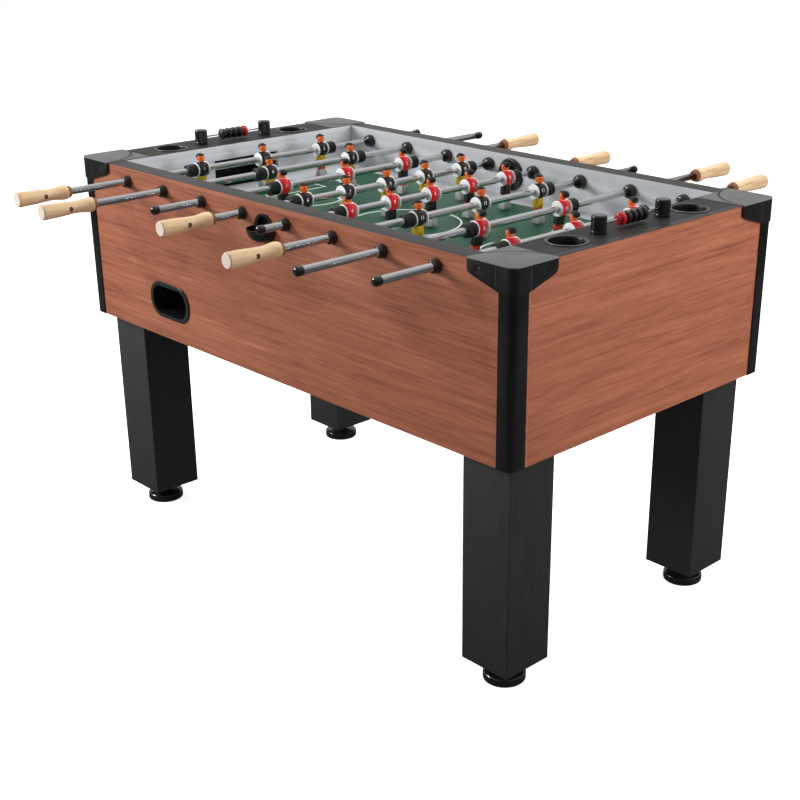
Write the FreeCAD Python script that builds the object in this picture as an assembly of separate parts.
"""Foosball table: laminated cabinet on four square legs, eight sliding and
turning rods of toy men, bead scorers, cup holders, serve cups and ball returns.

Millimetres.  +Z up, X along the table, Y along the rods, origin on the floor
under the middle of the table.  The side at -Y carries the ball return at -X;
the far side is the same board turned half a turn about Z.
"""
import math
import os

import FreeCAD
import Part

V = FreeCAD.Vector
X, Y, Z = V(1, 0, 0), V(0, 1, 0), V(0, 0, 1)
O = V(0, 0, 0)

# Cabinet, half sizes measured from the middle
PANEL_X, PANEL_Y = 712.0, 402.5        # outer faces of the laminated panels
SIDE_T, END_T = 45.5, 18.0             # side walls, end panels
SIDE_IN = PANEL_Y - SIDE_T
END_IN = PANEL_X - END_T
PANEL_R = 12.5                         # rounded upright corners of the side walls
Z_BASE, Z_RAIL = 519.0, 909.0          # underside of the cabinet, top of the rails
FLOOR_T = 12.0
WALL_X, WALL_T = 598.0, 10.0           # white end walls beside the goals
APRON_T = 18.0

# Playfield
Z_FIELD, FIELD_T = 801.0, 9.0
GROOVE = 5.0
RAMP_X, RAMP_Y = 515.0, 321.0          # where the pale edge strips begin
RAMP_RISE_END, RAMP_RISE_SIDE, RAMP_NOSE = 8.0, 6.0, 0.6
GOAL_HALF, GOAL_H = 100.0, 71.0

# Corner posts and caps
SKIN = 2.5
POST_ARM_X, POST_ARM_Y = 677.0, 364.5
CAP_LEN = 117.0
CAP_DEPTH, CAP_END_DEPTH = 49.0, 20.0
CAP_SCREW_IN, CAP_SCREW_Z = 86.0, 893.0
CAP_LINE_IN, CAP_LINE_W, CAP_LINE_D = 46.0, 1.2, 0.7   # fine upright line on each skirt

# Legs and levelling feet
LEG_X, LEG_Y, LEG_SIDE, LEG_Z = 621.5, 308.0, 126.0, 48.0
STUD_R, STUD_TOP, RUN = 5.0, 90.0, 0.05
FOOT_R, FOOT_T, BOSS_R = 45.0, 20.0, 16.0
BOLT_R, BOLT_LEN, BOLT_OFF = 4.0, 46.0, 30.0

# End aprons: cup holders and bead scorers
CUP_X, CUP_Y, CUP_R, CUP_DEPTH, CUP_FLANGE = 650.0, 192.0, 37.0, 59.0, 41.0
SCORE_X, POST_Y, POST_R, POST_H = 650.5, 100.0, 16.0, 36.0
WIRE_R, WIRE_Z = 2.0, 926.0
BEAD_R, BEAD_PITCH, BEAD_LEN = 13.5, 17.0, 16.6

# Serve cups and ball returns
SERVE_Z, SERVE_R, BOWL_R, BOWL_RIM, BOWL_LOW = 861.0, 23.0, 39.0, 857.0, 828.0
RETURN_X, RETURN_Z = -379.5, 613.0
RETURN_W, RETURN_HT, RETURN_RAD = 134.0, 67.0, 31.0
BOX_T = 3.0

# Rods
ROD_Z, ROD_R, ROD_BORE, PITCH = 877.0, 8.0, 5.5, 148.2
BEARING_IN = 342.0                     # inner faces of the bearings
NUT_OUT = 417.5                        # outer faces of the bearing nuts
HUB_HALF, HUB_R, BUMPER_R, BUMPER_LEN, GAP = 16.5, 17.0, 15.5, 25.0, 0.5
HANDLE_LEN, HANDLE_SCREW, CAP_ROD_LEN, CAP_ROD_R = 132.0, 64.0, 17.0, 9.8
SPACING = {2: 256.0, 3: 189.0, 5: 123.0}
HANDLE_END = {2: 737.5, 3: 680.0, 5: 620.5}
CAP_END = {2: 607.5, 3: 545.5, 5: 490.0}
# men on the rod, side the handle is on, way the men face, rod pushed along Y, lean in degrees
RODS = [
    (3, -1, 1, -8.0, 0.0), (2, -1, 1, 26.0, 0.0), (3, 1, -1, 12.0, 0.0), (5, -1, 1, 10.0, 0.0),
    (5, 1, -1, 12.0, 0.0), (3, -1, 1, 19.0, 0.0), (2, 1, -1, -10.0, 12.0), (3, 1, -1, -14.0, 0.0),
]


def box(x0, x1, y0, y1, z0, z1):
    return Part.makeBox(x1 - x0, y1 - y0, z1 - z0, V(x0, y0, z0))


def cyl(radius, start, length, axis=Z):
    return Part.makeCylinder(radius, length, start, axis)


def prism(points, along):
    """Extrude a closed polygon of vectors along a vector."""
    return Part.Face(Part.makePolygon(points + points[:1])).extrude(along)


def turned(profile, axis_point, axis, radial):
    """Revolve (radius, height) pairs about axis; heights run along axis."""
    points = [axis_point + radial * r + axis * h for r, h in profile]
    return Part.Face(Part.makePolygon(points + points[:1])).revolve(axis_point, axis, 360)


def fuse(shapes):
    return shapes[0].multiFuse(shapes[1:]).removeSplitter()


def cut(shape, tools):
    return shape.cut(Part.makeCompound(tools)) if tools else shape


def half_turn(shape):
    copy = shape.copy()
    copy.rotate(O, Z, 180)
    return copy


def both(shape):
    """The shape and its half turn about the middle of the table."""
    return [shape, half_turn(shape)]


def quarters(shape):
    """The shape mirrored into the four corners."""
    left = shape.mirror(O, X)
    return [shape, left, shape.mirror(O, Y), left.mirror(O, Y)]


def rounded_block(hx, hy, radius, z0, z1):
    """Upright block centred on the origin with rounded upright edges."""
    block = box(-hx, hx, -hy, hy, z0, z1)
    upright = [e for e in block.Edges if abs(e.tangentAt(e.FirstParameter).z) > 0.9]
    return block.makeFillet(radius, upright)


def rounded_slot(width, height, radius, cx, cz, y0, y1):
    """Block along Y with a rounded rectangular section."""
    block = box(cx - width / 2, cx + width / 2, y0, y1, cz - height / 2, cz + height / 2)
    long_edges = [e for e in block.Edges if abs(e.tangentAt(e.FirstParameter).y) > 0.9]
    return block.makeFillet(radius, long_edges)


def rod_x(number):
    return (number - 4.5) * PITCH


# ---------------------------------------------------------------- cabinet
def side_wall():
    """The long side wall at -Y."""
    shell = rounded_block(PANEL_X, PANEL_Y, PANEL_R, Z_BASE, Z_RAIL)
    wall = shell.common(box(-PANEL_X, PANEL_X, -PANEL_Y, -SIDE_IN, Z_BASE, Z_RAIL))
    holes = [cyl(12.0, V(rod_x(k), -PANEL_Y - 1, ROD_Z), SIDE_T + 2, Y) for k in range(1, 9)]
    holes.append(cyl(SERVE_R, V(0, -PANEL_Y - 1, SERVE_Z), SIDE_T + 2, Y))
    holes.append(rounded_slot(RETURN_W + 2 * BOX_T, RETURN_HT + 2 * BOX_T, RETURN_RAD + BOX_T,
                              RETURN_X, RETURN_Z, -PANEL_Y - 1, -SIDE_IN + 1))
    reach = WALL_X + WALL_T
    holes.append(box(-reach, reach, -SIDE_IN - GROOVE, -SIDE_IN + 1, Z_FIELD - FIELD_T, Z_FIELD))
    for sx in (-1, 1):
        at = sx * (PANEL_X + 5 - CAP_SCREW_IN)
        holes.append(cyl(2.0, V(at, -PANEL_Y - 1, CAP_SCREW_Z), 16, Y))
    return cut(wall, holes)


def end_panel():
    """The end panel at +X, held between the side walls."""
    panel = box(END_IN, PANEL_X, -SIDE_IN, SIDE_IN, Z_BASE, Z_RAIL)
    at = PANEL_Y + 5 - CAP_SCREW_IN
    return cut(panel, [cyl(2.0, V(PANEL_X - 15, s * at, CAP_SCREW_Z), 16, X) for s in (-1, 1)])


def cabinet_floor():
    board = box(-END_IN, END_IN, -SIDE_IN, SIDE_IN, Z_BASE, Z_BASE + FLOOR_T)
    return cut(board, leg_bolt_shanks())


def end_wall():
    wall = box(WALL_X, WALL_X + WALL_T, -SIDE_IN, SIDE_IN, Z_FIELD, Z_RAIL - APRON_T)
    mouth = box(WALL_X - 1, WALL_X + WALL_T + 1, -GOAL_HALF, GOAL_HALF, Z_FIELD - 1, Z_FIELD + GOAL_H)
    return wall.cut(mouth)


def end_apron():
    board = box(WALL_X, END_IN, -SIDE_IN, SIDE_IN, Z_RAIL - APRON_T, Z_RAIL)
    holes = [cyl(CUP_R, V(CUP_X, s * CUP_Y, Z_RAIL - APRON_T - 1), APRON_T + 2) for s in (-1, 1)]
    return cut(board, holes)


def playfield():
    reach = WALL_X + WALL_T
    return box(-reach, reach, -SIDE_IN - GROOVE, SIDE_IN + GROOVE, Z_FIELD - FIELD_T, Z_FIELD)


def field_ramps():
    """Pale sloping strips round the playfield, left out at the goal mouths."""
    end = prism([V(RAMP_X, GOAL_HALF, Z_FIELD), V(WALL_X, GOAL_HALF, Z_FIELD),
                 V(WALL_X, GOAL_HALF, Z_FIELD + RAMP_RISE_END),
                 V(RAMP_X, GOAL_HALF, Z_FIELD + RAMP_NOSE)], Y * (SIDE_IN - GOAL_HALF))
    side = prism([V(-RAMP_X, RAMP_Y, Z_FIELD), V(-RAMP_X, SIDE_IN, Z_FIELD),
                  V(-RAMP_X, SIDE_IN, Z_FIELD + RAMP_RISE_SIDE),
                  V(-RAMP_X, RAMP_Y, Z_FIELD + RAMP_NOSE)], X * (2 * RAMP_X))
    return quarters(end) + both(side)


# ------------------------------------------------------- corners and legs
def corner_shell():
    outer = rounded_block(PANEL_X + SKIN, PANEL_Y + SKIN, PANEL_R + SKIN, Z_BASE, Z_RAIL)
    inner = rounded_block(PANEL_X, PANEL_Y, PANEL_R, Z_BASE - 1, Z_RAIL + 1)
    return outer.cut(inner)


def corner_post():
    """Angle of black plastic wrapped round the corner at +X +Y."""
    return corner_shell().common(box(POST_ARM_X, PANEL_X + 9, POST_ARM_Y, PANEL_Y + 9, Z_BASE, Z_RAIL))


def cap_screw_sites():
    """Start, outward axis and cap face distance of the two screws of the +X +Y cap."""
    side = V(PANEL_X + 5 - CAP_SCREW_IN, PANEL_Y + 2 * SKIN, CAP_SCREW_Z)
    end = V(PANEL_X + 2 * SKIN, PANEL_Y + 5 - CAP_SCREW_IN, CAP_SCREW_Z)
    return [(side, Y), (end, X)]


def cap_screw(face, axis):
    head = cyl(4.4, face - axis * 1.8, 1.8, axis)
    shank = cyl(2.0, face - axis * 19, 17.5, axis)
    driver = cyl(1.6, face - axis * 0.9, 2, axis)
    return fuse([head, shank]).cut(driver)


def corner_cap():
    """Black cap over the corner at +X +Y: a plate with a skirt down both faces."""
    hx, hy = PANEL_X + 2 * SKIN, PANEL_Y + 2 * SKIN
    z_top, z_low = Z_RAIL + SKIN, Z_RAIL + SKIN - CAP_DEPTH - SKIN
    block = rounded_block(hx, hy, PANEL_R + 2 * SKIN, z_low, z_top)
    block = block.common(box(hx - CAP_LEN, hx, hy - CAP_LEN, hy, z_low, z_top))
    tools = [rounded_block(PANEL_X, PANEL_Y, PANEL_R, z_low - 1, Z_RAIL), corner_post()]
    x0, y0 = hx - CAP_LEN, hy - CAP_LEN
    z_end = z_top - CAP_END_DEPTH - SKIN
    for a0, a1, off, along, wide in ((x0, POST_ARM_X + SKIN, V(0, PANEL_Y, 0), X, Y),
                                     (y0, POST_ARM_Y + SKIN, V(PANEL_X, 0, 0), Y, X)):
        outline = [(a0 - 1, z_low - 1), (a0 - 1, z_end + 3), (a0, z_end + 3), (a0 + 1.5, z_end - 2),
                   (a0 + 5, z_end - 6), (a0 + 14, z_end - 10), (a1, z_low), (a1, z_low - 1)]
        tools.append(prism([off + along * a + Z * z for a, z in outline], wide * (3 * SKIN)))
    arc = cyl(122.0, V(hx, hy, Z_RAIL), 10)
    step = box(x0 - 1, hx, y0 - 1, hy, z_top - 1.2, z_top + 1).cut(arc)
    tools.append(step)
    line_x, line_y = hx - CAP_LINE_IN, hy - CAP_LINE_IN
    tools.append(box(line_x, line_x + CAP_LINE_W, hy - CAP_LINE_D, hy + 1, z_low - 1, z_top - 3))
    tools.append(box(hx - CAP_LINE_D, hx + 1, line_y, line_y + CAP_LINE_W, z_low - 1, z_top - 3))
    for face, axis in cap_screw_sites():
        tools.append(cyl(4.4, face - axis * 1.8, 3, axis))
        tools.append(cyl(2.0, face - axis * 6, 8, axis))
    cap = block
    for tool in tools:
        cap = cap.cut(tool)
    return cap


def leg():
    block = box(LEG_X - LEG_SIDE / 2, LEG_X + LEG_SIDE / 2, LEG_Y - LEG_SIDE / 2, LEG_Y + LEG_SIDE / 2,
                LEG_Z, Z_BASE)
    upright = [e for e in block.Edges if abs(e.tangentAt(e.FirstParameter).z) > 0.9]
    block = block.makeFillet(2.0, upright)
    stud_hole = cyl(STUD_R + RUN, V(LEG_X, LEG_Y, LEG_Z - 1), STUD_TOP - LEG_Z + 4)
    return cut(block, [stud_hole] + leg_bolt_shanks()[:2])


def leg_bolt_shanks():
    base = [cyl(BOLT_R, V(LEG_X + s * BOLT_OFF, LEG_Y, Z_BASE + FLOOR_T - BOLT_LEN), BOLT_LEN)
            for s in (-1, 1)]
    return base + [b.mirror(O, n) for n in (X, Y) for b in base] + [half_turn(b) for b in base]


def leg_bolts():
    bolts = []
    for shank in leg_bolt_shanks():
        c = shank.BoundBox.Center
        ring = [V(c.x + 7.5 * math.cos(math.radians(a)), c.y + 7.5 * math.sin(math.radians(a)),
                  Z_BASE + FLOOR_T) for a in range(0, 360, 60)]
        bolts.append(fuse([shank, prism(ring, Z * 5.5)]))
    return bolts


def leveller():
    profile = [(0, 0), (FOOT_R - 2.5, 0), (FOOT_R, 2.5), (FOOT_R, FOOT_T - 4), (FOOT_R - 1.2, FOOT_T - 1.2),
               (FOOT_R - 4, FOOT_T), (BOSS_R, FOOT_T), (BOSS_R, LEG_Z), (STUD_R, LEG_Z),
               (STUD_R, STUD_TOP), (0, STUD_TOP)]
    return turned(profile, V(LEG_X, LEG_Y, 0), Z, X)


# ------------------------------------------------------------ end fittings
def cup_holder():
    top, low = Z_RAIL, Z_RAIL - CUP_DEPTH
    profile = [(CUP_R, top), (CUP_FLANGE, top), (CUP_FLANGE, top + 1.2), (CUP_FLANGE - 1.2, top + 2.4),
               (CUP_R - 0.4, top + 2.4), (CUP_R - 1.8, top + 0.6), (CUP_R - 5.5, low + 2), (0, low + 2),
               (0, low), (CUP_R - 3.7, low), (CUP_R, Z_RAIL - APRON_T)]
    return turned(profile, V(CUP_X, CUP_Y, 0), Z, X)


def score_post():
    h = POST_H
    profile = [(0, 0), (POST_R, 0), (POST_R, h - 2.5), (POST_R - 0.8, h - 0.8), (POST_R - 2.5, h), (0, h)]
    post = turned(profile, V(SCORE_X, POST_Y, Z_RAIL), Z, X)
    return post.cut(cyl(WIRE_R, V(SCORE_X, POST_Y - POST_R - 1, WIRE_Z), 8, Y))


def score_wire():
    reach = POST_Y - POST_R + 7
    return cyl(WIRE_R, V(SCORE_X, -reach, WIRE_Z), 2 * reach, Y)


def bead(slot):
    """One scoring bead of the +X scorer; slots run from -2 (red) to +2."""
    n = BEAD_LEN
    profile = [(WIRE_R + RUN, 0), (8.5, 0), (10.5, 2.6), (BEAD_R, 5.4), (BEAD_R, n - 5.4),
               (10.5, n - 2.6), (8.5, n), (WIRE_R + RUN, n)]
    start = slot * BEAD_PITCH - BEAD_LEN / 2
    return turned(profile, V(SCORE_X, start, WIRE_Z), Y, Z)


# ---------------------------------------------------- serves and ball runs
def serve_cup():
    """Outer cup on the side at -Y with its tube through the wall."""
    face = -PANEL_Y
    lip = [(0, BOWL_LOW), (20, BOWL_LOW + 1.5), (31, BOWL_LOW + 8), (37, BOWL_LOW + 18), (BOWL_R, BOWL_RIM),
           (BOWL_R - 3, BOWL_RIM), (BOWL_R - 5, BOWL_LOW + 19), (29, BOWL_LOW + 10.5),
           (19, BOWL_LOW + 4.5), (0, BOWL_LOW + 3)]
    bowl = turned(lip, V(0, face, 0), Z, X)
    bowl = bowl.common(box(-60, 60, face - 60, face, 800, 900))
    arch = cyl(31.0, V(0, face - 3, BOWL_RIM), 3, Y)
    back = box(-BOWL_R + 1, BOWL_R - 1, face - 3, face, BOWL_LOW + 20, BOWL_RIM)
    tube = cyl(SERVE_R, V(0, face - 3, SERVE_Z), SIDE_T + 3, Y)
    bore = cyl(SERVE_R - 2, V(0, face - 4, SERVE_Z), SIDE_T + 6, Y)
    below = box(-20, 20, face - 4, face + 1, BOWL_LOW - 5, BOWL_LOW + 21)
    return cut(fuse([bowl, arch, back, tube]), [bore]).cut(below.cut(bowl))


def serve_ring():
    """Inner ring round the serve hole on the wall at -Y."""
    d = 6.0
    profile = [(SERVE_R - 2, 0), (40.0, 0), (40.0, 3.0), (37.0, d), (SERVE_R + 1, d), (SERVE_R - 2, 4.0)]
    return turned(profile, V(0, -SIDE_IN, SERVE_Z), Y, X)


def ball_return():
    """Black tray through the wall at -Y with its rim on the outside."""
    out, back = -PANEL_Y - 3.5, -240.0
    rim = rounded_slot(RETURN_W + 22, RETURN_HT + 20, RETURN_RAD + 10, RETURN_X, RETURN_Z, out, -PANEL_Y)
    front = [e for e in rim.Edges if abs(e.BoundBox.YMax - out) < 1e-6]
    rim = rim.makeFillet(1.5, front)
    tray = rounded_slot(RETURN_W + 2 * BOX_T, RETURN_HT + 2 * BOX_T, RETURN_RAD + BOX_T,
                        RETURN_X, RETURN_Z, -PANEL_Y, back)
    inside = rounded_slot(RETURN_W, RETURN_HT, RETURN_RAD, RETURN_X, RETURN_Z, out - 1, back - BOX_T)
    drop = box(RETURN_X - 50, RETURN_X + 50, -335, back - 6, RETURN_Z + 20, RETURN_Z + 60)
    return fuse([rim, tray]).cut(inside).cut(drop)


def goal_box():
    """Black box behind the goal at -X with the run down to the ball return."""
    x0, x1 = -END_IN + 2, -(WALL_X + WALL_T)
    z0, z1 = 735.0, 884.0
    outer = box(x0, x1, -110, 110, z0, z1)
    inner = box(x0 + BOX_T, x1 - BOX_T, -110 + BOX_T, 110 - BOX_T, z0 + BOX_T, z1 - BOX_T)
    mouth = box(x1 - BOX_T - 1, x1 + 1, -GOAL_HALF, GOAL_HALF, Z_FIELD - FIELD_T, Z_FIELD + GOAL_H)
    start, end = V(x1, -82, z0), V(-398, -288, 672.0)
    run = end - start
    heading = math.degrees(math.atan2(run.y, run.x))
    slope = math.degrees(math.atan2(-run.z, math.hypot(run.x, run.y)))

    def along_run(shape):
        shape.rotate(O, Y, slope)
        shape.rotate(O, Z, heading)
        shape.translate(start)
        return shape

    channel = along_run(box(-60, run.Length, -28, 28, 0, 33))
    trough = along_run(box(-38, run.Length + 9, -25, 25, BOX_T, 46))
    outside = box(x1 - 0.01, 0, -600, 200, 0, 900)
    return fuse([outer, channel.common(outside)]).cut(inner).cut(mouth).cut(trough)


# ------------------------------------------------------------------- rods
def bearing_sleeve(x):
    """Sleeve through the wall at -Y with its domed flange inside."""
    profile = [(ROD_R + RUN, 0), (11.0, 0), (14.5, 2.0), (16.2, 6.0), (16.5, 15.0), (12.0, 15.0),
               (12.0, 72.5), (ROD_R + RUN, 72.5)]
    return turned(profile, V(x, -BEARING_IN, ROD_Z), -Y, X)


def bearing_nut(x):
    """Nut on the outside: a scalloped collar under a dome."""
    depth = NUT_OUT - PANEL_Y
    profile = [(12.0, 0), (14.6, 0), (14.6, 4.0), (13.4, 4.6), (13.2, 10.0), (11.8, 13.5), (9.8, depth),
               (ROD_R + RUN, depth), (ROD_R + RUN, 12.0), (12.0, 12.0)]
    nut = turned(profile, V(x, -PANEL_Y, ROD_Z), -Y, X)
    bites = []
    for i in range(10):
        a = math.radians(36 * i)
        centre = V(x + 16.2 * math.cos(a), -PANEL_Y + 1, ROD_Z + 16.2 * math.sin(a))
        bites.append(cyl(2.6, centre, 5.8, -Y))
    return cut(nut, bites)


def rod_bearings():
    near = []
    for k in range(1, 9):
        near += [bearing_sleeve(rod_x(k)), bearing_nut(rod_x(k))]
    return near + [half_turn(s) for s in near]


def man(facing):
    """One toy man with his hub on the origin, feet down, facing +X or -X."""
    hubs = [cyl(HUB_R, V(0, y, 0), 3.0, Y) for y in (-HUB_HALF, HUB_HALF - 3.0)]
    barrel = cyl(13.5, V(0, -HUB_HALF + 1, 0), 2 * HUB_HALF - 2, Y)
    chest = prism([V(x, -13, z) for x, z in ((-8, -14), (9, -14), (11, -2), (10, 11), (5, 17.5),
                                              (-6, 17.5), (-9.5, 10), (-10, -6))], Y * 26)
    shorts = prism([V(x, -12, z) for x, z in ((-8, -12), (8.5, -12), (8, -37), (-8, -37))], Y * 24)
    legs = prism([V(x, -10.5, z) for x, z in ((-6.5, -36), (7, -36), (7, -55), (-6, -55))], Y * 21)
    foot = prism([V(x, -12, z) for x, z in ((-7, -53), (8, -53), (11, -60), (13, -69), (12, -72.5),
                                             (-8, -72.5), (-8.5, -67))], Y * 24)
    neck = cyl(5.5, V(0.5, 0, 15), 7)
    head = Part.makeSphere(9.0, V(1.5, 0, 26.5))
    hair = Part.makeSphere(10.2, V(-0.6, 0, 28.8))
    body = fuse(hubs + [barrel, chest, shorts, legs, foot, neck, head, hair])
    body = body.cut(cyl(ROD_R, V(0, -HUB_HALF - 1, 0), 2 * HUB_HALF + 2, Y))
    return body if facing > 0 else half_turn(body)


def handle(side):
    """Wooden grip and its screw, outer end on the origin, running inwards from side."""
    d = -Y * side
    profile = [(0, 0), (14.2, 0), (16.0, 1.0), (16.7, 3.5), (16.6, 14), (16.0, 35), (14.8, 56), (13.7, 74),
               (13.4, 84), (14.2, 95), (15.9, 106), (16.6, 112), (16.4, 117), (15.4, 122.5),
               (12.6, 131), (11.8, HANDLE_LEN), (ROD_R, HANDLE_LEN), (ROD_R, 30), (0, 30)]
    grip = turned(profile, O, d, Z)
    at = d * HANDLE_SCREW
    out = X * -side
    grip = cut(grip, [cyl(4.5, at + out * 12, 10, out), cyl(2.0, at + out * (ROD_R - 1), 6, out)])
    screw = fuse([cyl(4.0, at + out * 12, 1.8, out), cyl(2.0, at + out * (ROD_R + 0.1), 4.5, out)])
    screw = screw.cut(cyl(1.5, at + out * 12.8, 3, out))
    return [grip.cut(cyl(ROD_R, O + d * 30, 100, d)), screw]


def rod_tube(side, count):
    a = side * (HANDLE_END[count] - 30)
    b = -side * (CAP_END[count] - 6)
    lo, hi = min(a, b), max(a, b)
    return cyl(ROD_R, V(0, lo, 0), hi - lo, Y).cut(cyl(ROD_BORE, V(0, lo - 1, 0), hi - lo + 2, Y))


def rod_cap(side, count):
    n = CAP_ROD_LEN
    profile = [(0, 0), (6.6, 0), (8.8, 1.2), (CAP_ROD_R, 4.0), (CAP_ROD_R, n - 1), (9.2, n), (ROD_R, n),
               (ROD_R, 6), (0, 6)]
    return turned(profile, V(0, -side * CAP_END[count], 0), Y * side, Z)


def bumper(y, side):
    profile = [(ROD_R + RUN, 0), (14.3, 0), (BUMPER_R, 1.2), (BUMPER_R, BUMPER_LEN - 1.2),
               (14.3, BUMPER_LEN), (ROD_R + RUN, BUMPER_LEN)]
    return turned(profile, V(0, y, 0), Y * side, Z)


def rod_set(number):
    """Nodes of one rod in place."""
    count, side, facing, push, lean = RODS[number - 1]
    half_row = (count - 1) * SPACING[count] / 2
    men = []
    for i in range(count):
        figure = man(facing)
        figure.rotate(O, Y, lean)
        figure.translate(V(0, i * SPACING[count] - half_row, 0))
        men.append(figure)
    grip = handle(side)
    for solid in grip:
        solid.translate(V(0, side * HANDLE_END[count], 0))
    ends = half_row + HUB_HALF + GAP
    nodes = {
        "rod": [rod_tube(side, count), rod_cap(side, count)],
        "men": men,
        "handle": grip,
        "bumpers": [bumper(ends, 1), bumper(-ends, -1)],
    }
    place = V(rod_x(number), push, ROD_Z)
    for solids in nodes.values():
        for solid in solids:
            solid.translate(place)
    return {f"{name}_{number}": solids for name, solids in nodes.items()}


def build():
    cap_screws = []
    for face, axis in cap_screw_sites():
        cap_screws += quarters(cap_screw(face, axis))
    wall, grip_end = side_wall(), end_panel()
    red, black = bead(-2), [bead(i) for i in (-1, 0, 1, 2)]
    nodes = {
        "side_walls": both(wall),
        "end_panels": both(grip_end),
        "cabinet_floor": [cabinet_floor()],
        "end_walls": both(end_wall()),
        "end_aprons": both(end_apron()),
        "playfield": [playfield()],
        "field_ramps": field_ramps(),
        "corner_posts": quarters(corner_post()),
        "corner_caps": quarters(corner_cap()),
        "cap_screws": cap_screws,
        "legs": quarters(leg()),
        "leg_bolts": leg_bolts(),
        "cup_holders": quarters(cup_holder()),
        "score_posts": quarters(score_post()),
        "score_wires": both(score_wire()),
        "red_bead_right": [red],
        "black_beads_right": black,
        "red_bead_left": [half_turn(red)],
        "black_beads_left": [half_turn(b) for b in black],
        "serve_cups": both(serve_cup()),
        "serve_rings": both(serve_ring()),
        "ball_returns": both(ball_return()),
        "goal_boxes": both(goal_box()),
        "rod_bearings": rod_bearings(),
    }
    feet = quarters(leveller())
    for label, foot in zip(("right_far", "left_far", "right_near", "left_near"), feet):
        nodes[f"leveller_{label}"] = [foot]
    for number in range(1, 9):
        nodes.update(rod_set(number))
    return nodes


def main():
    os.makedirs("parts", exist_ok=True)
    for name, solids in build().items():
        shape = solids[0] if len(solids) == 1 else Part.makeCompound(solids)
        shape.exportStep(f"parts/{name}.step")
        found = [s.Volume for s in shape.Solids]
        print(f"{name:22s} {len(found):3d} solids {sum(found) / 1000:10.1f} cm3 valid {shape.isValid()}")


main()
